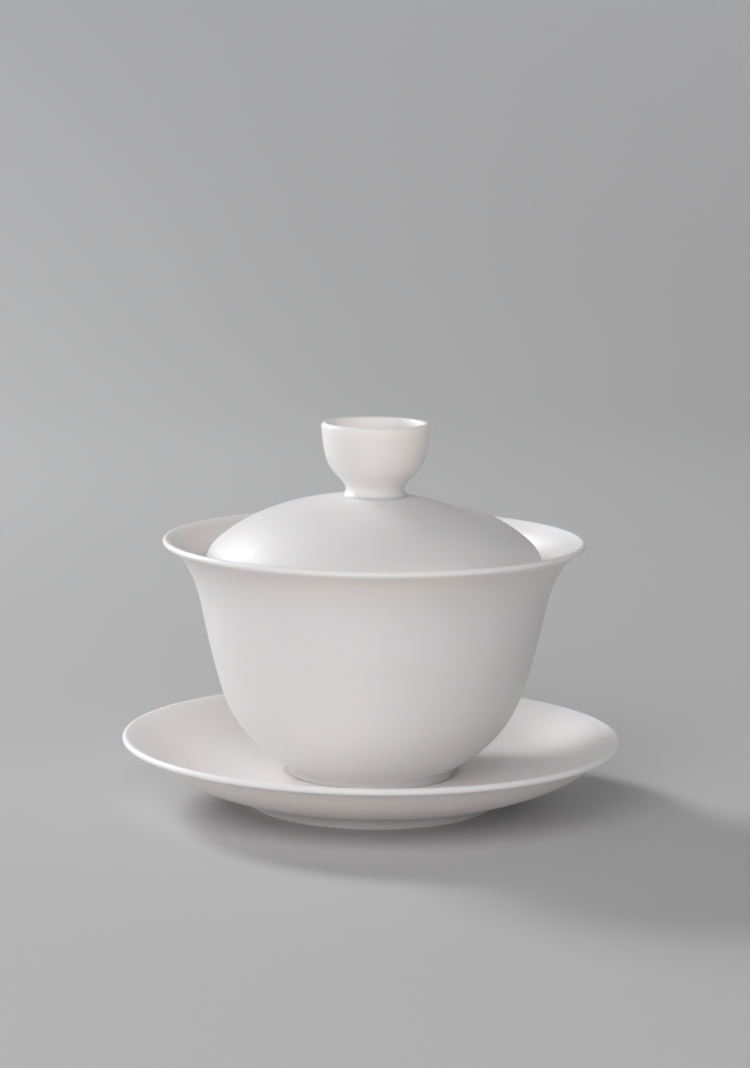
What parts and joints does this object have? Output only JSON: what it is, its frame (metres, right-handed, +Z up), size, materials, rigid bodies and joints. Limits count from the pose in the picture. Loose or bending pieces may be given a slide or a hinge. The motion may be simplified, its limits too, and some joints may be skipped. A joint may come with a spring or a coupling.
{
  "type": "gaiwan",
  "caption": "White porcelain lidded tea bowl on a saucer: a flared bowl on a foot ring, a domed lid with a hollow cup-shaped knob, and a shallow dished saucer.",
  "frame": {"origin": "centre of the saucer's foot ring, on the surface that the gaiwan stands on", "axes": "+Z up along the axis that all pieces are turned about; X and Y are free, because every piece is round"},
  "size_m": [0.1164, 0.1164, 0.0896],
  "materials": {
    "white_porcelain": "satin"
  },
  "bodies": {
    "saucer": {"saucer": "white_porcelain"},
    "bowl": {"bowl": "white_porcelain"},
    "lid": {"lid_dome": "white_porcelain", "lid_knob": "white_porcelain"}
  },
  "joints": [
    {"name": "bowl_lift", "type": "slide", "parent": "saucer", "child": "bowl", "axis": [0, 0, 1], "range_m": [0, 0.05]},
    {"name": "lid_lift", "type": "slide", "parent": "bowl", "child": "lid", "axis": [0, 0, 1], "range_m": [0, 0.05]}
  ]
}
